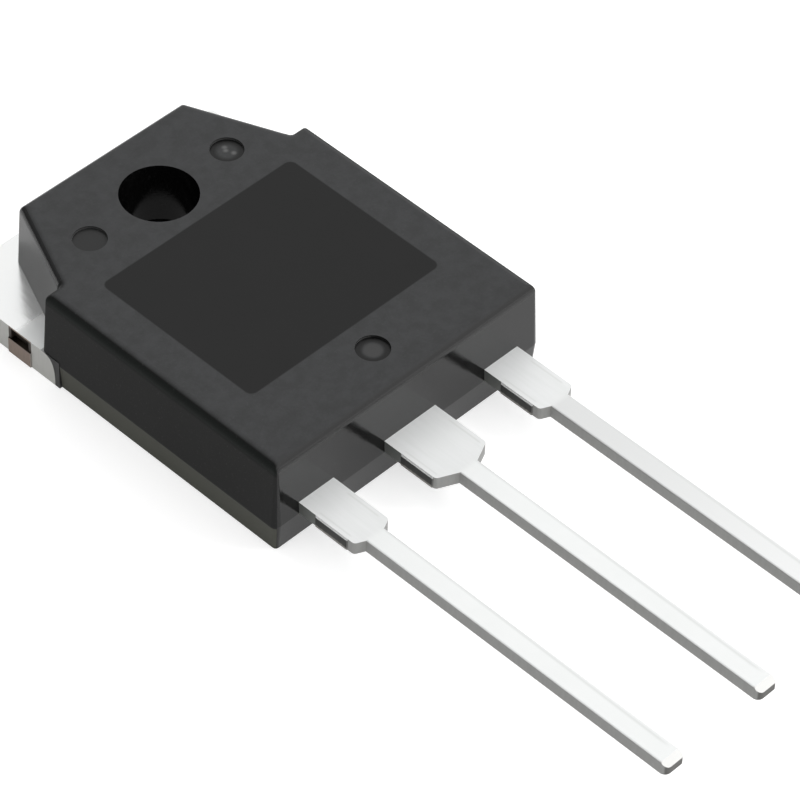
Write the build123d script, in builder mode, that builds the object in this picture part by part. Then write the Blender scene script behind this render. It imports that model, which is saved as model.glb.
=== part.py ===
"""Power MOSFET in a three-lead, screw-mounted plastic power package.

The origin is the point where the mounting-hole axis meets the heat-sink face.
+Z points out of the marked front face, the leads run along -Y, X is the width.
A thick copper header carries the silicon die and ends in the drain lead.  The
gate and source leads stand free of it, are joined to the die by aluminium bond
wires, and everything is locked together by the moulded epoxy body.
All lengths are in millimetres and all angles in degrees.
"""
from build123d import *
from math import atan2, radians, tan
import os

# ------------------------------------------------------------------ moulded body
package_height = 4.8
body_width = 15.56            # across the parting line
lead_end = 15.13              # hole axis to the lead end of the body
shoulder = 0.95               # hole axis back to the step where the head begins
head_end = 3.78               # hole axis to the far end of the head
head_end_width = 9.75
shoulder_step = 0.88          # how far each side steps in where the head begins
parting_height = 1.4          # the leads leave the body on the parting line
upper_draft = 3.0
lower_draft = 5.0
top_edge_radius = 0.4
corner_radius = 0.3           # on the parting line; the drafts make it smaller away from it
body_hole_diameter = 3.5

# Round marks that the ejector pins leave in the front face.
mark_diameter = 1.52
mark_depth = 0.12
mark_spacing = 8.0            # between the two marks beside the hole
end_mark_y = -12.85           # the third mark, near the drain lead

# ------------------------------------------------------------------ copper header
header_thickness = 1.5
ear_proud = 0.02              # the ears stand this far outside the body, on each side
header_end = 4.95             # hole axis to the free end of the header
header_corner_radius = 0.15
header_hole_diameter = 3.2
ear_end = 2.1                 # hole axis to where the ears turn in to the die pad
ear_corner_radius = 0.95
pad_inset = 1.0               # from the ear side to the die pad side
pad_end = 12.3                # hole axis to the end of the die pad
pad_corner_radius = 0.5
lock_ledge = 0.3              # lip along the pad that the epoxy grips from below
lock_height = 0.55            # back face to the underside of that lip
lock_start = 3.4              # hole axis to the near end of the lip
lock_end = 11.6
lock_corner_radius = 0.25

# Stub left on each ear where the tie bar of the strip was sheared off.
tie_bar_y = 0.36
tie_bar_length = 1.4
tie_bar_height = 0.85
tie_bar_proud = 0.06
tie_recess_length = 1.1
tie_recess_depth = 0.22
tie_recess_height = 0.56

# ------------------------------------------------------------------ leads
lead_pitch = 5.45
lead_thickness = 0.64
lead_width = 1.05
lead_length = 19.77           # outside the body
outer_shoulder_width = 2.0
drain_shoulder_width = 3.0
shoulder_length = 3.37        # from the body to where the narrow blade begins
shoulder_slope = 25.0         # of its sloping end, from the width direction
shoulder_corner_radius = 0.2
edge_roll_radius = 0.09       # rounding left by blanking on the top edges
tip_corner_radius = 0.3
tip_far_corner_radius = 0.1
tip_bevel_run = 0.3           # bevel along the top of the tip, along the lead
tip_bevel_drop = 0.25         # and down its end

# Stubs left on the shoulders where the dam bar between the leads was cut out.
dam_bar_offset = 0.97         # from the body
dam_bar_width = 1.8
dam_bar_proud = 0.04
dam_bar_rim = 0.1             # left clear below the top of the lead

# Bonding posts, where the gate and source leads begin inside the body.
post_width = 4.2
post_depth = 1.55
post_end_gap = 0.45           # between the die pad and the posts
post_drain_gap = 1.1          # between a post and the drain lead
post_corner_radius = 0.3

# Sloping strap that lifts the drain lead from the die pad to the parting line.
strap_overlap = 0.3
strap_foot = 0.3
strap_run = 0.7
strap_lap = 0.2               # level length at its top that joins the lead

# ------------------------------------------------------------------ chip and wires
solder_thickness = 0.08
solder_margin = 0.2
die_width = 6.4
die_length = 5.2
die_thickness = 0.3
die_y = -7.6
wire_flat = 0.3               # share of its radius by which a bonded foot is pressed flat
wire_foot = 0.9
wire_rise_angle = 50.0        # at which a wire leaves its foot on the die
wire_loop = 1.3               # crest of the wires above the die
wire_crest = 0.9              # level length at the crest
wire_fall = 0.55              # share of the drop made in the steep stretch above the post
wire_fall_angle = 40.0        # of that stretch
gate_wire_diameter = 0.2
gate_bond_inset = 0.8         # from the two edges of the die
source_wire_diameter = 0.5
source_wire_count = 2
source_bond_spacing = 1.8     # on the die
source_post_spacing = 1.5     # on the bonding post
source_bond_x = 1.1
source_bond_inset = 1.5       # from the lead-side edge of the die

# ------------------------------------------------------------------ derived places
same_place = 1e-4             # places closer than this are one
head_base_width = body_width - 2 * shoulder_step
header_width = body_width + 2 * ear_proud
pad_width = header_width - 2 * pad_inset
lead_top = parting_height + lead_thickness
drain_drop = lead_top - header_thickness
blade_start = -(lead_end + shoulder_length)
blade_tip = -(lead_end + lead_length)
post_start = -(pad_end + post_end_gap)
post_inner_x = drain_shoulder_width / 2 + post_drain_gap
post_centre_x = post_inner_x + post_width / 2
post_centre_y = post_start - post_depth / 2
die_seat = header_thickness + solder_thickness
die_top = die_seat + die_thickness
die_edge_y = die_y - die_length / 2


# ------------------------------------------------------------------ lead parts
def lead_plan(centre_x, shoulder_width, root_y):
    """Plan of one lead, from root_y inside the body out to its tip."""
    half_shoulder = shoulder_width / 2
    half_blade = lead_width / 2
    slope_start = blade_start + (half_shoulder - half_blade) * tan(radians(shoulder_slope))
    with BuildSketch() as plan:
        with BuildLine():
            Polyline(
                (centre_x - half_shoulder, root_y),
                (centre_x + half_shoulder, root_y),
                (centre_x + half_shoulder, slope_start),
                (centre_x + half_blade, blade_start),
                (centre_x + half_blade, blade_tip),
                (centre_x - half_blade, blade_tip),
                (centre_x - half_blade, blade_start),
                (centre_x - half_shoulder, slope_start),
                close=True,
            )
        make_face()
        fillet(plan.vertices().group_by(Axis.Y)[0].sort_by(Axis.X)[0], tip_corner_radius)
        fillet(plan.vertices().group_by(Axis.Y)[0].sort_by(Axis.X)[-1], tip_far_corner_radius)
        slope_corners = plan.vertices().filter_by(lambda v: abs(v.Y - slope_start) < same_place)
        fillet(slope_corners, shoulder_corner_radius)
    return plan.sketch


def outer_lead_plan(side):
    """Plan of the gate (side -1) or source (side +1) lead with its bonding post."""
    with BuildSketch() as plan:
        with Locations((side * post_centre_x, post_centre_y)):
            RectangleRounded(post_width, post_depth, post_corner_radius)
        add(lead_plan(side * lead_pitch, outer_shoulder_width, post_centre_y))
    return plan.sketch


def blade_edges(edges):
    """Top edges of the narrow blade of a lead, round to its tip."""
    top = edges.filter_by(lambda e: abs(e.center().Z - lead_top) < same_place)
    return top.filter_by(lambda e: max((e @ 0).Y, (e @ 1).Y) < blade_start + same_place)


def dam_bar_stubs(centre_x, shoulder_width):
    """Add the sheared stubs on both sides of one lead's shoulder."""
    with BuildSketch(Plane.XY.offset(parting_height)) as stubs:
        with Locations((centre_x, -(lead_end + dam_bar_offset + dam_bar_width / 2))):
            Rectangle(shoulder_width + 2 * dam_bar_proud, dam_bar_width)
    extrude(stubs.sketch, amount=lead_thickness - dam_bar_rim)


def bevel_tip(centre_x):
    """Cut the bevel along the top of one lead's tip."""
    with BuildSketch(Plane.YZ.offset(centre_x)) as wedge:
        with BuildLine():
            Polyline(
                (blade_tip, lead_top),
                (blade_tip + tip_bevel_run, lead_top),
                (blade_tip, lead_top - tip_bevel_drop),
                close=True,
            )
        make_face()
    extrude(wedge.sketch, amount=lead_width, both=True, mode=Mode.SUBTRACT)


gate_plan = outer_lead_plan(-1)
source_plan = outer_lead_plan(1)
strap_end = -(pad_end + strap_foot + strap_run)
drain_plan = lead_plan(0, drain_shoulder_width, strap_end)

# ------------------------------------------------------------------ drain header
with BuildPart() as drain_header:
    # Plate with two ears beside the mounting hole and the narrower die pad.
    with BuildSketch() as header_plan:
        with BuildLine():
            Polyline(
                (0, header_end),
                (header_width / 2, header_end),
                (header_width / 2, -ear_end),
                (pad_width / 2, -ear_end),
                (pad_width / 2, -pad_end),
                (0, -pad_end),
            )
            mirror(about=Plane.YZ)
        make_face()
        ear_corners = header_plan.vertices().filter_by(lambda v: abs(v.X) > (header_width + pad_width) / 4)
        fillet(ear_corners.group_by(Axis.Y)[-1], header_corner_radius)
        fillet(ear_corners.group_by(Axis.Y)[0], ear_corner_radius)
        pad_corners = header_plan.vertices().group_by(Axis.Y)[0]
        fillet(pad_corners.filter_by(lambda v: abs(v.X) > pad_width / 4), pad_corner_radius)
    extrude(amount=header_thickness)

    # Lips along both sides of the die pad.
    with BuildSketch(Plane.XY.offset(lock_height)):
        with Locations((0, -(lock_start + lock_end) / 2)):
            RectangleRounded(pad_width + 2 * lock_ledge, lock_end - lock_start, lock_corner_radius)
    extrude(amount=header_thickness - lock_height)

    # Sheared tie-bar stubs low on the ears, with the torn recess above each.
    with BuildSketch():
        with Locations((0, tie_bar_y)):
            Rectangle(header_width + 2 * tie_bar_proud, tie_bar_length)
    extrude(amount=tie_bar_height)
    with BuildSketch(Plane.XY.offset(tie_bar_height)):
        with GridLocations(header_width, 1, 2, 1):
            with Locations((0, tie_bar_y)):
                Rectangle(2 * tie_recess_depth, tie_recess_length)
    extrude(amount=tie_recess_height, mode=Mode.SUBTRACT)

    # Strap from the die pad up to the parting line, of the lead's own thickness.
    strap_bend = lead_thickness * tan(atan2(drain_drop, strap_run) / 2)
    with BuildSketch(Plane.YZ):
        with BuildLine():
            Polyline(
                (-(pad_end - strap_overlap), header_thickness),
                (-(pad_end + strap_foot), header_thickness),
                (strap_end, lead_top),
                (strap_end - strap_bend - strap_lap, lead_top),
                (strap_end - strap_bend - strap_lap, parting_height),
                (strap_end - strap_bend, parting_height),
                (-(pad_end + strap_foot) - strap_bend, header_thickness - lead_thickness),
                (-(pad_end - strap_overlap), header_thickness - lead_thickness),
                close=True,
            )
        make_face()
    extrude(amount=drain_shoulder_width / 2, both=True)

    # The drain lead itself, its blade rolled along the top edges by blanking.
    with BuildSketch(Plane.XY.offset(parting_height)):
        add(drain_plan)
    extrude(amount=lead_thickness)
    fillet(blade_edges(drain_header.edges()), edge_roll_radius)
    bevel_tip(0)
    dam_bar_stubs(0, drain_shoulder_width)

    Hole(header_hole_diameter / 2)
drain_header.part.label = "drain_header"

# ------------------------------------------------------------------ gate and source leads
with BuildPart() as gate_lead:
    with BuildSketch(Plane.XY.offset(parting_height)):
        add(gate_plan)
    extrude(amount=lead_thickness)
    fillet(blade_edges(gate_lead.edges()), edge_roll_radius)
    bevel_tip(-lead_pitch)
    dam_bar_stubs(-lead_pitch, outer_shoulder_width)
gate_lead.part.label = "gate_lead"

with BuildPart() as source_lead:
    with BuildSketch(Plane.XY.offset(parting_height)):
        add(source_plan)
    extrude(amount=lead_thickness)
    fillet(blade_edges(source_lead.edges()), edge_roll_radius)
    bevel_tip(lead_pitch)
    dam_bar_stubs(lead_pitch, outer_shoulder_width)
source_lead.part.label = "source_lead"

# ------------------------------------------------------------------ die and solder
with BuildPart() as die_attach_solder:
    with BuildSketch(Plane.XY.offset(header_thickness)):
        with Locations((0, die_y)):
            Rectangle(die_width + 2 * solder_margin, die_length + 2 * solder_margin)
    extrude(amount=solder_thickness)
die_attach_solder.part.label = "die_attach_solder"

with BuildPart() as silicon_die:
    with BuildSketch(Plane.XY.offset(die_seat)):
        with Locations((0, die_y)):
            Rectangle(die_width, die_length)
    extrude(amount=die_thickness)
silicon_die.part.label = "silicon_die"

# ------------------------------------------------------------------ bond wires


def bond_wire(die_point, post_point, diameter, lead):
    """Round wire looped from the die to a post, with both feet pressed flat."""
    sink = diameter / 2 * (1 - wire_flat)
    run = Vector(*post_point) - Vector(*die_point)
    crest_height = die_top + wire_loop
    foot_height = lead_top + sink
    rise = (wire_loop - sink) / tan(radians(wire_rise_angle))
    steep_drop = wire_fall * (crest_height - foot_height)
    steep_start = run.length - wire_foot / 2 - steep_drop / tan(radians(wire_fall_angle))
    upright = Plane(origin=die_point, x_dir=run, z_dir=run.cross(Vector(0, 0, 1)))
    with BuildPart() as wire:
        with BuildLine(upright) as route:
            Polyline(
                (-wire_foot / 2, die_top + sink),
                (wire_foot / 2, die_top + sink),
                (wire_foot / 2 + rise, crest_height),
                (wire_foot / 2 + rise + wire_crest, crest_height),
                (steep_start, foot_height + steep_drop),
                (run.length - wire_foot / 2, foot_height),
                (run.length + wire_foot / 2, foot_height),
            )
        with BuildSketch(Plane(origin=route.line @ 0, z_dir=route.line % 0)):
            Circle(diameter / 2)
        sweep(path=route.line, transition=Transition.RIGHT)
        add(silicon_die.part, mode=Mode.SUBTRACT)
        add(lead.part, mode=Mode.SUBTRACT)
    return wire.part


gate_bond_wire = bond_wire(
    (-die_width / 2 + gate_bond_inset, die_edge_y + gate_bond_inset),
    (-post_centre_x, post_centre_y),
    gate_wire_diameter,
    gate_lead,
)
gate_bond_wire.label = "gate_bond_wire"

source_bond_wires = []
for i in range(source_wire_count):
    step = i - (source_wire_count - 1) / 2
    wire = bond_wire(
        (source_bond_x + step * source_bond_spacing, die_edge_y + source_bond_inset),
        (post_centre_x + step * source_post_spacing, post_centre_y),
        source_wire_diameter,
        source_lead,
    )
    wire.label = f"source_bond_wire_{i + 1}"
    source_bond_wires.append(wire)

# ------------------------------------------------------------------ moulded body
with BuildPart() as mould_body:
    # Upper half of the mould: the wide part and the narrowing head, drafted upwards.
    with BuildSketch(Plane.XY.offset(parting_height)) as outline:
        with BuildLine():
            Polyline(
                (0, -lead_end),
                (body_width / 2, -lead_end),
                (body_width / 2, -shoulder),
                (head_base_width / 2, -shoulder),
                (head_end_width / 2, head_end),
                (0, head_end),
            )
            mirror(about=Plane.YZ)
        make_face()
        ends = outline.vertices().group_by(Axis.Y)[0] + outline.vertices().group_by(Axis.Y)[-1]
        widest = outline.vertices().filter_by(lambda v: abs(v.X) > (body_width + head_base_width) / 4)
        shoulders = widest.filter_by(lambda v: v.Y > -lead_end + corner_radius)
        fillet([v for v in ends if abs(v.X) > corner_radius] + shoulders, corner_radius)
    extrude(amount=package_height - parting_height, taper=upper_draft)

    # Lower half: only the wide part, drafted the other way down to the back face.
    with BuildSketch(Plane.XY.offset(parting_height)):
        with Locations((0, -(lead_end + shoulder) / 2)):
            RectangleRounded(body_width, lead_end - shoulder, corner_radius)
    extrude(amount=-parting_height, taper=lower_draft)
    fillet(mould_body.faces().sort_by(Axis.Z)[-1].edges(), top_edge_radius)

    # Screw hole and the ejector-pin marks.
    Hole(body_hole_diameter / 2)
    with BuildSketch(Plane.XY.offset(package_height)):
        with Locations((-mark_spacing / 2, 0), (mark_spacing / 2, 0), (0, end_mark_y)):
            Circle(mark_diameter / 2)
    extrude(amount=-mark_depth, mode=Mode.SUBTRACT)

    # The epoxy fills whatever the metal, the chip and the wires leave free.
    inserts = [drain_header, gate_lead, source_lead, die_attach_solder, silicon_die]
    add([piece.part for piece in inserts], mode=Mode.SUBTRACT)
    add([gate_bond_wire, *source_bond_wires], mode=Mode.SUBTRACT)
mould_body.part.label = "mould_body"

# ------------------------------------------------------------------ export
os.makedirs("parts", exist_ok=True)
export_step(mould_body.part, "parts/mould_body.step")
export_step(drain_header.part, "parts/drain_header.step")
export_step(gate_lead.part, "parts/gate_lead.step")
export_step(source_lead.part, "parts/source_lead.step")
export_step(die_attach_solder.part, "parts/die_attach_solder.step")
export_step(silicon_die.part, "parts/silicon_die.step")
export_step(gate_bond_wire, "parts/gate_bond_wire.step")
for wire in source_bond_wires:
    export_step(wire, f"parts/{wire.label}.step")
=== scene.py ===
"""Power MOSFET in its flat screw-mounted package: looks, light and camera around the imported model.

Blender works in metres.  The materials are procedural.  They read the object's own coordinates,
turned into millimetres, so each region of a surface is placed by the package's real dimensions.
"""
import math

import bpy
from mathutils import Matrix, Vector

MM = 0.001


def grey(level, tint=(1.0, 1.0, 1.0)):
    """Linear colour: a level of grey with a slight tint."""
    return (level * tint[0], level * tint[1], level * tint[2], 1.0)


# Camera, in millimetres and degrees.  The clipping distances are in metres.
CAMERA_TARGET = (0.671, -13.861, 2.0)
CAMERA_DISTANCE = 187.94
CAMERA_AZIMUTH = -46.931
CAMERA_ELEVATION = 45.926
CAMERA_ROLL = 2.178
CAMERA_LENS = 203.08
CAMERA_CLIP = (0.01, 10.0)
SENSOR_WIDTH = 36.0

# Studio dome: bright around its axis and dark away from it.  The edges are cosines from the axis.
DOME_AXIS = (0.55, -0.25, 0.8)
DOME_BRIGHT = 1.05
DOME_DARK = 0.04
DOME_BRIGHT_EDGE = 0.5
DOME_DARK_EDGE = 0.0

# Lamps: name, place and size in millimetres, power in watts.  The key lights the lead tops,
# and the glossy lead end of the body mirrors them.  The fill lifts the other side a little.
KEY_LAMP = ("key", (205.0, -225.0, 290.0), 130.0, 0.4)
FILL_LAMP = ("fill", (-260.0, 90.0, 230.0), 200.0, 0.1)
LAMP_AIM = (0.0, -12.0, 2.0)

# Floor, in metres.  It has a little light of its own, less of it under the screw hole as a painted
# shadow.
FLOOR_HALF = 1.5
FLOOR_DROP = 0.00001
FLOOR_COLOURS = (grey(0.66), grey(0.68))
FLOOR_LIFT = 0.60
HOLE_SHADE = 0.6
HOLE_SHADE_RADIUS = 2.25

# Moulding, in millimetres.
PARTING_HEIGHT = 1.4
FRONT_FACE = 4.8
RIM_HEIGHT = 4.3
SHOULDER_Y = -0.95
BODY_END = -15.13
FIELD_HALF_WIDTH = 5.53
FIELD_NEAR = -2.35
FIELD_FAR = -11.35
FIELD_CORNER = 0.35
HOLE = (0.0, 0.0)
HOLE_RADIUS = 1.75
MARK_RADIUS = 0.76
LEFT_MARK = (-4.0, 0.0)
RIGHT_MARK = (4.0, 0.0)
END_MARK = (0.0, -12.85)
MARK_CENTRE_RADIUS = 0.38
RING_INNER_RADIUS = 0.45
# Painted highlights in the right ejector mark.
PAINTED_GLINTS = ((4.1, 0.25), (4.0, 0.08), (4.15, -0.27))
PAINTED_GLINT_RADIUS = 0.1

# Leads, in millimetres.
LEAD_PITCH = 5.45
LEAD_WIDTH = 1.05
OUTER_SHOULDER = 2.0
DRAIN_SHOULDER = 3.0
BLADE_START = -18.5
LEAD_TIP = -34.9
TIP_BEVEL = 0.35
DAM_BAR_NEAR = -16.1
DAM_BAR_FAR = -17.9
DAM_BAR_TOP = 1.94
DAM_BAR_BREAK = 1.52

# Header, in millimetres.
HEADER_THICKNESS = 1.5
EAR_START = 0.5
EAR_HALF_WIDTH = 7.8
PAD_EDGE_START = -4.0
FLASH_LENGTH = 0.87
TIE_BAR_Y = 0.36
TIE_BAR_HALF = 0.7
TIE_BAR_TOP = 0.85
TIE_RECESS_TOP = 1.41

# Moulding compound, by region.  A pair is mixed by a noise.
# Painted shade: the long sides and the lead end are darker copies of the front's compound.
EPOXY_SIDE_SHADE = (grey(0.005, (0.99, 1.0, 0.96)), grey(0.007, (0.99, 1.0, 0.96)))
EPOXY_FRONT = (grey(0.026, (0.97, 1.0, 1.02)), grey(0.036, (0.97, 1.0, 1.04)))
EPOXY_END_UPPER_SHADE = grey(0.010)
EPOXY_END_LOWER_SHADE = grey(0.012)
EPOXY_END_ROLL = grey(0.032)
EPOXY_HEAD_ROLL = grey(0.028)
EPOXY_BORE_SHADE = grey(0.003)
# Painted shade: a dark band, set metallic, along the top of the long sides.
EPOXY_RIM_SHADE = grey(0.028, (0.9, 1.0, 0.95))
EPOXY_LOWER = grey(0.095, (1.0, 1.02, 0.85))
EPOXY_GRAIN = grey(0.06)
EPOXY_FIELD = grey(0.003, (0.98, 1.0, 1.0))
EPOXY_SOFT_DISC = grey(0.014, (0.98, 1.0, 1.0))
EPOXY_RING_SHADE = grey(0.001)
EPOXY_MARK_CENTRE_LIFT = grey(0.04)
EPOXY_MARK_WALL_LIFT = grey(0.08)
EPOXY_PAINTED_GLINT = grey(0.1)
SIDE_ROUGHNESS = 0.72
POLISHED_ROUGHNESS = 0.07
HEAD_ROUGHNESS = 0.3
HEAD_ROLL_ROUGHNESS = 0.12
FRONT_ROUGHNESS = 0.36
FIELD_ROUGHNESS = 0.5

# Tin over copper, by region.  A pair is mixed by a noise, or from the tip to the root of a blade.
TIN_SHEET = (grey(0.88, (0.98, 1.0, 0.99)), grey(0.93, (0.99, 1.0, 0.995)))
TIN_SHOULDER_SHADE = (grey(0.79, (0.98, 1.0, 0.99)), grey(0.89, (0.99, 1.0, 1.0)))
TIN_SOURCE = (grey(0.90, (0.99, 1.0, 0.995)), grey(0.76, (0.99, 1.0, 0.995)))
TIN_EAR = grey(0.90, (0.99, 1.0, 0.995))
TIN_BEVEL = grey(0.72, (1.0, 1.0, 0.98))
TIN_EDGE_SHADE = grey(0.74, (0.98, 1.0, 0.98))
LEAD_EDGE_DULL_SHADE = (grey(0.30, (1.0, 1.0, 0.97)), grey(0.41, (1.0, 1.0, 0.98)))
EAR_EDGE = (grey(0.50, (1.0, 1.0, 0.95)), grey(0.62, (1.0, 1.0, 0.96)))
ROOT_EDGE_SHADE = grey(0.20, (0.96, 1.0, 0.95))
STUB_TORN = grey(0.30, (1.03, 1.0, 0.93))
STUB_BURNISHED = grey(0.022, (1.0, 1.0, 0.9))
STUB_RISER_LIFT = grey(0.97)
TIP_CUT = (grey(0.10, (1.02, 1.0, 0.95)), grey(0.15, (1.02, 1.0, 0.95)))
TIE_CUT = (grey(0.16, (1.3, 1.0, 0.82)), grey(0.26, (1.3, 1.0, 0.82)))
TIE_RECESS_SHADE = grey(0.03, (1.3, 1.0, 0.75))
FLASH = grey(0.004, (0.98, 1.0, 0.96))
HEADER_HOLE_SHADE = grey(0.02)


# ---------------------------------------------------------------- node helpers
class Graph:
    """Builds one material's node tree with short calls."""

    def __init__(self, name):
        self.material = bpy.data.materials.new(name)
        self.material.use_nodes = True
        self.tree = self.material.node_tree
        self.tree.nodes.clear()
        self.output = self.tree.nodes.new("ShaderNodeOutputMaterial")
        self.shader = self.tree.nodes.new("ShaderNodeBsdfPrincipled")
        self.tree.links.new(self.shader.outputs[0], self.output.inputs["Surface"])
        coordinates = self.tree.nodes.new("ShaderNodeTexCoord").outputs["Object"]
        self.position = self.vector("SCALE", coordinates, scale=1 / MM)
        self.x, self.y, self.z = self.split(self.position)
        geometry = self.tree.nodes.new("ShaderNodeNewGeometry")
        self.nx, self.ny, self.nz = self.split(geometry.outputs["Normal"])

    def put(self, socket, value):
        """Link a socket, or set its value."""
        if isinstance(value, bpy.types.NodeSocket):
            self.tree.links.new(value, socket)
        else:
            socket.default_value = value

    def math(self, operation, a, b=0.0):
        node = self.tree.nodes.new("ShaderNodeMath")
        node.operation = operation
        self.put(node.inputs[0], a)
        self.put(node.inputs[1], b)
        return node.outputs[0]

    def plus(self, a, b):
        return self.math("ADD", a, b)

    def minus(self, a, b):
        return self.math("SUBTRACT", a, b)

    def times(self, a, b):
        return self.math("MULTIPLY", a, b)

    def absolute(self, value):
        return self.math("ABSOLUTE", value)

    def vector(self, operation, a, b=(0.0, 0.0, 0.0), scale=1.0):
        node = self.tree.nodes.new("ShaderNodeVectorMath")
        node.operation = operation
        self.put(node.inputs[0], a)
        self.put(node.inputs[1], b)
        if operation == "SCALE":
            node.inputs[3].default_value = scale
        return node.outputs["Vector"]

    def split(self, vector):
        node = self.tree.nodes.new("ShaderNodeSeparateXYZ")
        self.put(node.inputs[0], vector)
        return node.outputs[0], node.outputs[1], node.outputs[2]

    def join(self, x, y, z):
        node = self.tree.nodes.new("ShaderNodeCombineXYZ")
        for socket, value in zip(node.inputs, (x, y, z)):
            self.put(socket, value)
        return node.outputs[0]

    def step(self, value, low, high, to_low=0.0, to_high=1.0):
        """Smooth step of value from low to high."""
        node = self.tree.nodes.new("ShaderNodeMapRange")
        node.interpolation_type = "SMOOTHSTEP"
        self.put(node.inputs["Value"], value)
        node.inputs["From Min"].default_value = low
        node.inputs["From Max"].default_value = high
        node.inputs["To Min"].default_value = to_low
        node.inputs["To Max"].default_value = to_high
        return node.outputs[0]

    def both(self, *masks):
        """Mask where all the masks are 1."""
        result = masks[0]
        for mask in masks[1:]:
            result = self.times(result, mask)
        return result

    def either(self, *masks):
        """Mask where at least one mask is 1."""
        result = masks[0]
        for mask in masks[1:]:
            result = self.math("MAXIMUM", result, mask)
        return result

    def less(self, value, edge, soft=0.02):
        """Mask where value is under the edge, with a soft border."""
        return self.step(value, edge - soft, edge + soft, 1.0, 0.0)

    def more(self, value, edge, soft=0.02):
        """Mask where value is over the edge, with a soft border."""
        return self.step(value, edge - soft, edge + soft)

    def between(self, value, low, high, soft=0.02):
        return self.both(self.more(value, low, soft), self.less(value, high, soft))

    def distance(self, centre):
        """Distance in the XY plane from a point."""
        offset = self.join(self.minus(self.x, centre[0]), self.minus(self.y, centre[1]), 0.0)
        node = self.tree.nodes.new("ShaderNodeVectorMath")
        node.operation = "LENGTH"
        self.put(node.inputs[0], offset)
        return node.outputs["Value"]

    def noise(self, scale, detail=3.0, roughness=0.55, stretch=(1.0, 1.0, 1.0), seed=0.0):
        """Noise between 0 and 1 at a scale in features per millimetre."""
        node = self.tree.nodes.new("ShaderNodeTexNoise")
        stretched = self.vector("MULTIPLY", self.position, stretch)
        self.put(node.inputs["Vector"], self.vector("ADD", stretched, (seed, seed, seed)))
        node.inputs["Scale"].default_value = scale
        node.inputs["Detail"].default_value = detail
        node.inputs["Roughness"].default_value = roughness
        return node.outputs["Fac"]

    def mix(self, factor, a, b):
        """Colour a where factor is 0 and b where it is 1."""
        node = self.tree.nodes.new("ShaderNodeMix")
        node.data_type = "RGBA"
        self.put(node.inputs[0], factor)
        self.put(node.inputs[6], a)
        self.put(node.inputs[7], b)
        return node.outputs[2]

    def blend(self, factor, a, b):
        """Number a where factor is 0 and b where it is 1."""
        node = self.tree.nodes.new("ShaderNodeMix")
        node.data_type = "FLOAT"
        self.put(node.inputs[0], factor)
        self.put(node.inputs[2], a)
        self.put(node.inputs[3], b)
        return node.outputs[0]

    def bump(self, height, distance_mm):
        node = self.tree.nodes.new("ShaderNodeBump")
        node.inputs["Strength"].default_value = 1.0
        node.inputs["Distance"].default_value = distance_mm * MM
        self.put(node.inputs["Height"], height)
        self.put(self.shader.inputs["Normal"], node.outputs[0])

    def set(self, **values):
        """Set shader sockets by name, with _ for a space."""
        for name, value in values.items():
            self.put(self.shader.inputs[name.replace("_", " ")], value)


# ---------------------------------------------------------------- moulding compound
def rounded_field(g):
    """Mask of the dark rectangle on the front face, with slightly rounded corners."""
    centre_y = (FIELD_NEAR + FIELD_FAR) / 2
    half_length = (FIELD_NEAR - FIELD_FAR) / 2
    across = g.absolute(g.x)
    along = g.absolute(g.minus(g.y, centre_y))
    over_x = g.math("MAXIMUM", g.minus(across, FIELD_HALF_WIDTH - FIELD_CORNER), 0.0)
    over_y = g.math("MAXIMUM", g.minus(along, half_length - FIELD_CORNER), 0.0)
    squares = g.plus(g.times(over_x, over_x), g.times(over_y, over_y))
    inside = g.less(g.math("SQRT", squares), FIELD_CORNER, 0.05)
    return g.both(inside, g.more(g.z, FRONT_FACE - 0.06, 0.03), g.more(g.nz, 0.9, 0.05))


def paint_marks(g, base, field):
    """Colour of the field and of the three ejector marks, laid over the base colour, with painted
    shade, painted light and painted glints in the marks.
    """
    sunk = g.between(g.z, FRONT_FACE - 0.3, FRONT_FACE - 0.03, 0.02)
    marks = [g.distance(centre) for centre in (LEFT_MARK, RIGHT_MARK, END_MARK)]
    near_mark = g.either(*[g.less(mark, MARK_RADIUS + 0.1, 0.02) for mark in marks])
    in_left, in_right, in_end = [g.less(mark, MARK_RADIUS + 0.02, 0.02) for mark in marks]
    _, right, end = marks
    wall = g.both(sunk, near_mark, g.less(g.nz, 0.6, 0.2))
    soft_disc = g.both(sunk, in_left)
    rings = g.both(sunk, g.either(
        g.both(in_right, g.more(right, RING_INNER_RADIUS, 0.15)),
        g.both(in_end, g.more(end, RING_INNER_RADIUS, 0.12)),
    ))
    centre = g.both(sunk, g.less(end, MARK_CENTRE_RADIUS, 0.1))
    glint_spots = g.either(*[g.less(g.distance(spot), PAINTED_GLINT_RADIUS, 0.08) for spot in PAINTED_GLINTS])

    # Painted shade and light in the marks: dark rings stand for a groove's shade; the walls and the
    # end mark's centre are lightened against the recess's shade.
    base = g.mix(soft_disc, base, EPOXY_SOFT_DISC)
    base = g.mix(g.either(field, rings), base, g.mix(field, EPOXY_RING_SHADE, EPOXY_FIELD))
    base = g.mix(g.either(centre, wall), base, g.mix(wall, EPOXY_MARK_CENTRE_LIFT, EPOXY_MARK_WALL_LIFT))
    # Painted highlights: pale spots in the right mark stand for glints.
    return g.mix(g.both(sunk, glint_spots), base, EPOXY_PAINTED_GLINT)


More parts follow.
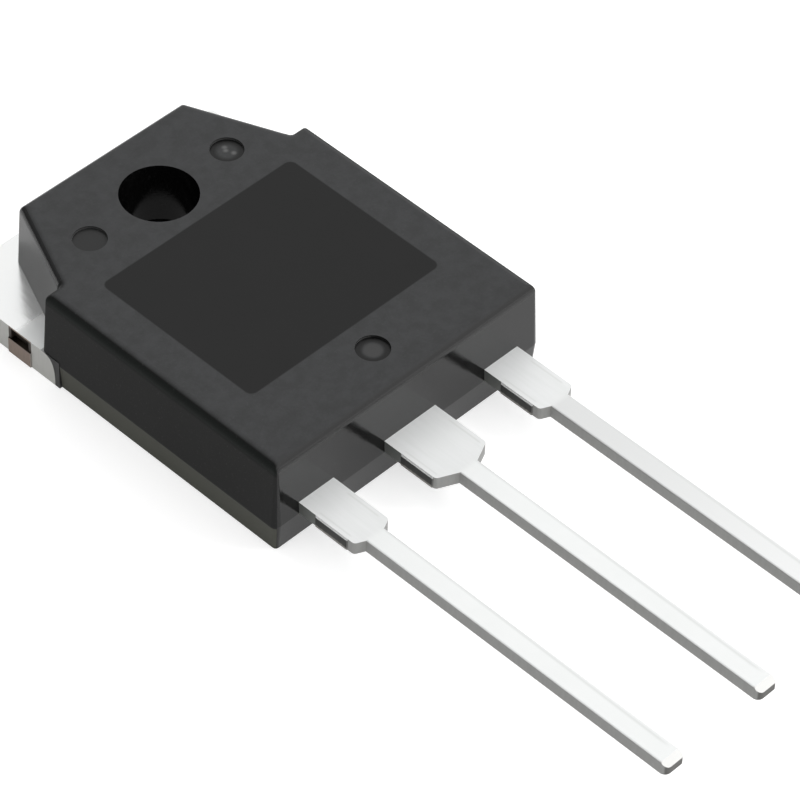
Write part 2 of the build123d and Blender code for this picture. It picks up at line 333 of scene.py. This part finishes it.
def epoxy_material():
    """Black filled moulding compound, satin, with the dark field and the ejector marks; its long
    sides, lead end, top band and bore carry painted shade.
    """
    g = Graph("moulded_epoxy")
    grain = g.noise(9.0, detail=4.0, roughness=0.65)
    fine = g.noise(22.0, detail=3.0, roughness=0.6, seed=2.0)
    cloud = g.noise(0.35, detail=2.0, seed=4.0)
    mottle = g.step(g.noise(1.6, detail=5.0, roughness=0.7, seed=11.0), 0.3, 0.7)

    # Regions of the body.
    field = rounded_field(g)
    # The bore's wall gets a near-black base colour: painted shade in the screw hole.
    bore = g.both(
        g.less(g.distance(HOLE), HOLE_RADIUS + 0.1, 0.05),
        g.less(g.z, FRONT_FACE - 0.01, 0.01),
    )
    outside = g.minus(1.0, bore)
    upward = g.step(g.nz, 0.80, 0.99)
    endward = g.step(g.absolute(g.ny), 0.2, 0.6)
    long_side = g.both(
        outside, g.more(g.absolute(g.nx), 0.6, 0.1), g.less(g.y, SHOULDER_Y, 0.05)
    )
    # Painted shade: a dark metallic band at the top of each long side stands for the dark reflection
    # below the top edge.
    shaded_rim = g.both(long_side, g.more(g.z, RIM_HEIGHT, 0.12), g.less(g.nz, 0.9, 0.08))
    lower = g.both(g.less(g.z, PARTING_HEIGHT - 0.1, 0.04), long_side)
    head = g.both(outside, g.more(g.y, SHOULDER_Y, 0.05))
    lead_end = g.both(outside, g.more(g.times(g.ny, -1.0), 0.85, 0.08))
    end_roll = g.both(endward, g.between(g.nz, 0.12, 0.92, 0.06), outside)
    head_roll = g.both(head, g.between(g.nz, 0.15, 0.9, 0.06))

    # Painted shade: the long sides and the lead end get darker compound than the front face.
    base = g.mix(cloud, *EPOXY_SIDE_SHADE)
    end_face_shade = g.mix(g.less(g.z, PARTING_HEIGHT, 0.03), EPOXY_END_UPPER_SHADE, EPOXY_END_LOWER_SHADE)
    base = g.mix(endward, base, end_face_shade)
    base = g.mix(end_roll, base, EPOXY_END_ROLL)
    base = g.mix(head_roll, base, EPOXY_HEAD_ROLL)
    base = g.mix(g.either(shaded_rim, bore), base, g.mix(shaded_rim, EPOXY_BORE_SHADE, EPOXY_RIM_SHADE))
    base = g.mix(lower, base, EPOXY_LOWER)
    base = g.mix(upward, base, g.mix(mottle, *EPOXY_FRONT))
    base = g.mix(g.both(g.more(grain, 0.64, 0.06), 0.25), base, EPOXY_GRAIN)
    base = paint_marks(g, base, field)

    head_side = g.blend(g.more(g.nz, 0.3, 0.2), HEAD_ROUGHNESS, HEAD_ROLL_ROUGHNESS)
    roughness = g.blend(g.either(lead_end, bore), SIDE_ROUGHNESS, POLISHED_ROUGHNESS)
    roughness = g.blend(head, roughness, head_side)
    roughness = g.blend(upward, roughness, g.blend(field, FRONT_ROUGHNESS, FIELD_ROUGHNESS))
    roughness = g.plus(roughness, g.times(cloud, 0.06))
    g.set(Base_Color=base, Metallic=shaded_rim, Roughness=roughness, IOR=1.5, Specular_IOR_Level=0.3)
    g.bump(g.plus(g.times(grain, 0.7), g.times(fine, 0.3)), 0.004)
    return g.material


# ---------------------------------------------------------------- tinned copper
def edge_shade_lines(g):
    """Mask of soft painted shade lines along the rolled edges of the tops: beside the dam bars and
    along each blade.
    """
    nearest_lead = g.times(g.math("ROUND", g.math("DIVIDE", g.x, LEAD_PITCH)), LEAD_PITCH)
    off_axis = g.minus(g.x, nearest_lead)
    on_drain = g.less(g.absolute(g.x), LEAD_PITCH / 2)
    half_shoulder = g.blend(on_drain, OUTER_SHOULDER / 2, DRAIN_SHOULDER / 2)
    inset = g.minus(half_shoulder, g.absolute(off_axis))
    dam_line = g.both(
        g.between(inset, 0.17, 0.25, 0.04),
        g.between(g.y, DAM_BAR_FAR, DAM_BAR_NEAR, 0.1),
    )
    # The blade's line drifts away from its edge towards the tip.
    drift = g.step(g.y, BLADE_START, LEAD_TIP, 0.07, 0.2)
    line_place = g.minus(g.minus(LEAD_WIDTH / 2, off_axis), drift)
    blade_line = g.both(
        g.between(line_place, -0.05, 0.05, 0.08),
        g.between(g.y, LEAD_TIP + 0.8, BLADE_START, 0.4),
    )
    return g.either(dam_line, blade_line)


def flash_mask(g):
    """Mask of the thin compound flash with a rounded border beside the body."""
    along = g.math("DIVIDE", g.minus(SHOULDER_Y, g.y), FLASH_LENGTH)
    up = g.math("DIVIDE", g.z, HEADER_THICKNESS)
    reach = g.plus(
        g.math("POWER", g.math("MAXIMUM", along, 0.0), 3.0),
        g.math("POWER", up, 3.0),
    )
    return g.both(g.between(g.y, PAD_EDGE_START, SHOULDER_Y, 0.03), g.more(reach, 1.0, 0.06))


def tinned_material():
    """Matte tin over copper: bright rolled faces, dull sheared edges darkened further with painted
    shade, and bare cuts.
    """
    g = Graph("tinned_copper")
    drawn = g.noise(5.0, detail=4.0, roughness=0.6, stretch=(1.0, 0.08, 1.0))
    cloud = g.noise(0.8, detail=3.0, roughness=0.6, seed=7.0)
    shear = g.noise(7.0, detail=3.0, roughness=0.6, stretch=(1.0, 1.0, 0.12), seed=3.0)

    # Regions along the piece and round its section.
    cut = g.step(g.absolute(g.nz), 0.35, 0.85, 1.0, 0.0)
    side_cut = g.more(g.absolute(g.nx), 0.7, 0.1)
    end_cut = g.more(g.absolute(g.ny), 0.6, 0.15)
    ear = g.more(g.y, EAR_START, 0.3)
    lead = g.less(g.y, BODY_END + 0.2, 0.05)
    shoulder = g.between(g.y, BLADE_START, BODY_END + 1.0, 0.2)
    near_body = g.both(g.more(g.y, BLADE_START + 0.5, 1.0), g.less(g.y, BODY_END + 1.0))
    source_blade = g.both(g.more(g.x, LEAD_PITCH / 2), g.less(g.y, BLADE_START, 0.2))
    at_tip = g.less(g.y, LEAD_TIP + TIP_BEVEL, 0.1)
    stub_span = g.between(g.y, DAM_BAR_FAR - 0.02, DAM_BAR_NEAR + 0.02, 0.03)
    stub = g.both(lead, stub_span, side_cut)
    above_stub = g.more(g.z, DAM_BAR_TOP, 0.005)
    tie = g.both(
        g.between(g.y, TIE_BAR_Y - TIE_BAR_HALF, TIE_BAR_Y + TIE_BAR_HALF, 0.03),
        g.more(g.absolute(g.x), EAR_HALF_WIDTH - 0.35, 0.02),
    )
    flash = flash_mask(g)

    # Rolled faces.
    tin = g.mix(cloud, *TIN_SHEET)
    tin = g.mix(ear, tin, TIN_EAR)
    # Painted shade: the shoulders next to the body get a darker tin, mixed by the drawn grain.
    tin = g.mix(shoulder, tin, g.mix(drawn, *TIN_SHOULDER_SHADE))
    tin = g.mix(source_blade, tin, g.mix(g.step(g.y, LEAD_TIP, BLADE_START), *TIN_SOURCE))
    tin = g.mix(g.both(at_tip, g.less(g.nz, 0.95, 0.04)), tin, TIN_BEVEL)
    # Painted shade along the rolled edges of the tops.
    tin = g.mix(g.both(edge_shade_lines(g), 0.8), tin, TIN_EDGE_SHADE)

    # Punched edges: darker than the rolled faces on the leads, partly the duller sheared metal and
    # partly painted shade, darkest next to the body as painted shade, and paler round the ears.
    edge = g.mix(shear, *LEAD_EDGE_DULL_SHADE)
    edge = g.mix(g.more(g.y, PAD_EDGE_START, 0.1), edge, g.mix(shear, *EAR_EDGE))
    edge = g.mix(g.both(lead, g.more(g.y, DAM_BAR_NEAR, 0.05), side_cut), edge, ROOT_EDGE_SHADE)

    # Dam-bar stub: a torn beige band, a dark burnished one above it, then the riser, lifted to near
    # white and non-metallic as painted light against its shade.
    torn_height = g.plus(g.z, g.times(g.minus(shear, 0.5), 0.12))
    burnished = g.both(g.more(torn_height, DAM_BAR_BREAK, 0.03), g.less(g.z, DAM_BAR_TOP, 0.005))
    stub_colour = g.mix(burnished, STUB_TORN, STUB_BURNISHED)
    edge = g.mix(stub, edge, g.mix(above_stub, stub_colour, STUB_RISER_LIFT))

    # Bare copper where the tips and the tie bars were cut.
    edge = g.mix(g.both(at_tip, end_cut), edge, g.mix(shear, *TIP_CUT))
    edge = g.mix(tie, edge, g.mix(shear, *TIE_CUT))

    base = g.mix(cut, tin, edge)
    base = g.mix(flash, base, FLASH)
    # Bare copper above each tie bar, darkened as painted shade in the recess.
    recess = g.both(tie, g.between(g.z, TIE_BAR_TOP - 0.02, TIE_RECESS_TOP, 0.02))
    base = g.mix(recess, base, TIE_RECESS_SHADE)
    # Painted shade: the header's bore under the screw hole is dark cut copper.
    base = g.mix(g.less(g.distance(HOLE), HOLE_RADIUS + 0.05, 0.02), base, HEADER_HOLE_SHADE)

    rolled_roughness = g.blend(ear, g.blend(cloud, 0.42, 0.52), 0.2)
    rolled_roughness = g.blend(near_body, rolled_roughness, 0.3)
    roughness = g.blend(cut, rolled_roughness, g.blend(shear, 0.5, 0.65))
    rolled_metallic = g.blend(near_body, g.blend(ear, 0.6, 0.9), 0.1)
    metallic = g.blend(cut, rolled_metallic, 0.3)
    metallic = g.blend(g.either(flash, g.both(stub, above_stub)), metallic, 0.0)
    g.set(Base_Color=base, Metallic=metallic, Roughness=roughness)
    g.bump(g.blend(cut, drawn, shear), 0.004)
    return g.material


# ---------------------------------------------------------------- hidden inner pieces
def plain_metal(name, colour, roughness):
    """A quiet metal with a little grain."""
    g = Graph(name)
    grain = g.noise(6.0, detail=3.0)
    g.set(
        Base_Color=g.mix(grain, grey(0.92, colour), grey(1.0, colour)),
        Roughness=g.blend(grain, roughness * 0.85, roughness * 1.15),
        Metallic=1.0,
    )
    g.bump(grain, 0.002)
    return g.material


def dress(frame):
    """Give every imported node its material.  The nodes not named here are bond wires."""
    epoxy = epoxy_material()
    tinned = tinned_material()
    silicon = plain_metal("silicon", (0.30, 0.31, 0.36), 0.25)
    solder = plain_metal("solder", (0.45, 0.45, 0.46), 0.5)
    wire = plain_metal("bond_aluminium", (0.85, 0.85, 0.86), 0.3)
    looks = {
        "mould_body": epoxy,
        "drain_header": tinned,
        "gate_lead": tinned,
        "source_lead": tinned,
        "silicon_die": silicon,
        "die_attach_solder": solder,
    }
    for name, node in frame["nodes"].items():
        node.data.materials.clear()
        node.data.materials.append(looks.get(name, wire))


# ---------------------------------------------------------------- stage
def add_floor():
    """White table under the part, with a little light of its own so that it reads white."""
    near, far = -FLOOR_HALF, FLOOR_HALF
    mesh = bpy.data.meshes.new("floor")
    corners = [(near, near, 0), (far, near, 0), (far, far, 0), (near, far, 0)]
    mesh.from_pydata(corners, [], [(0, 1, 2, 3)])
    floor = bpy.data.objects.new("floor", mesh)
    floor.location.z = -FLOOR_DROP
    bpy.context.scene.collection.objects.link(floor)
    g = Graph("floor")
    weave = g.noise(0.02, detail=1.0)
    g.set(Base_Color=g.mix(weave, *FLOOR_COLOURS), Roughness=0.9, Specular_IOR_Level=0.0)
    rays = g.tree.nodes.new("ShaderNodeLightPath").outputs
    seen = g.either(rays["Is Camera Ray"], rays["Is Glossy Ray"], rays["Is Transmission Ray"])
    # Painted shadow: less of the floor's own light under the screw hole.
    under_hole = g.less(g.distance(HOLE), HOLE_SHADE_RADIUS)
    seen = g.both(seen, g.minus(1.0, g.times(under_hole, HOLE_SHADE)))
    g.set(Emission_Color=grey(1.0), Emission_Strength=g.times(seen, FLOOR_LIFT))
    mesh.materials.append(g.material)


def add_world():
    """Studio dome: a broad soft light above the +X side that fades to dark on the -X side."""
    world = bpy.data.worlds.new("studio")
    bpy.context.scene.world = world
    world.use_nodes = True
    tree = world.node_tree
    tree.nodes.clear()
    new = tree.nodes.new
    direction = new("ShaderNodeTexCoord").outputs["Generated"]
    dot = new("ShaderNodeVectorMath")
    dot.operation = "DOT_PRODUCT"
    tree.links.new(direction, dot.inputs[0])
    dot.inputs[1].default_value = Vector(DOME_AXIS).normalized()
    ramp = new("ShaderNodeMapRange")
    ramp.interpolation_type = "SMOOTHSTEP"
    tree.links.new(dot.outputs["Value"], ramp.inputs["Value"])
    ramp.inputs["From Min"].default_value = DOME_DARK_EDGE
    ramp.inputs["From Max"].default_value = DOME_BRIGHT_EDGE
    ramp.inputs["To Min"].default_value = DOME_DARK
    ramp.inputs["To Max"].default_value = DOME_BRIGHT
    background = new("ShaderNodeBackground")
    background.inputs["Color"].default_value = grey(1.0)
    tree.links.new(ramp.outputs[0], background.inputs["Strength"])
    output = new("ShaderNodeOutputWorld")
    tree.links.new(background.outputs[0], output.inputs["Surface"])


def add_lamp(name, location_mm, size_mm, power):
    """Square soft light aimed at the middle of the part."""
    data = bpy.data.lights.new(name, "AREA")
    data.shape = "SQUARE"
    data.size = size_mm * MM
    data.energy = power
    light = bpy.data.objects.new(name, data)
    place = Vector(location_mm) * MM
    aim = Vector(LAMP_AIM) * MM - place
    light.location = place
    light.rotation_euler = aim.to_track_quat("-Z", "Y").to_euler()
    bpy.context.scene.collection.objects.link(light)


def add_camera():
    """Camera from the target, angles and distance above."""
    azimuth = math.radians(CAMERA_AZIMUTH)
    elevation = math.radians(CAMERA_ELEVATION)
    roll = math.radians(CAMERA_ROLL)
    back = Vector((
        math.sin(azimuth) * math.cos(elevation),
        -math.cos(azimuth) * math.cos(elevation),
        math.sin(elevation),
    ))
    level = Vector((math.cos(azimuth), math.sin(azimuth), 0.0))
    upright = back.cross(level)
    right = math.cos(roll) * level + math.sin(roll) * upright
    up = math.cos(roll) * upright - math.sin(roll) * level
    data = bpy.data.cameras.new("camera")
    data.lens = CAMERA_LENS
    data.sensor_width = SENSOR_WIDTH
    data.clip_start, data.clip_end = CAMERA_CLIP
    camera = bpy.data.objects.new("camera", data)
    rotation = Matrix((right, up, back)).transposed()
    place = (Vector(CAMERA_TARGET) + back * CAMERA_DISTANCE) * MM
    camera.matrix_world = Matrix.Translation(place) @ rotation.to_4x4()
    bpy.context.scene.collection.objects.link(camera)
    bpy.context.scene.camera = camera


# ---------------------------------------------------------------- build
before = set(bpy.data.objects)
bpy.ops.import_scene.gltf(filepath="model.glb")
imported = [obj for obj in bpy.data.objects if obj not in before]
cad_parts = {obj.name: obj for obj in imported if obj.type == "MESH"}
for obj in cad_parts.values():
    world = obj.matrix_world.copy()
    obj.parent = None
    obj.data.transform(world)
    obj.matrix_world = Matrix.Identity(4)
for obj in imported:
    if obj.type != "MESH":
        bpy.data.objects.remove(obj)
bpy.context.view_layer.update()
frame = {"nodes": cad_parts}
bpy.context.scene.view_settings.view_transform = "Standard"

dress(frame)
add_floor()
add_world()
add_lamp(*KEY_LAMP)
add_lamp(*FILL_LAMP)
add_camera()
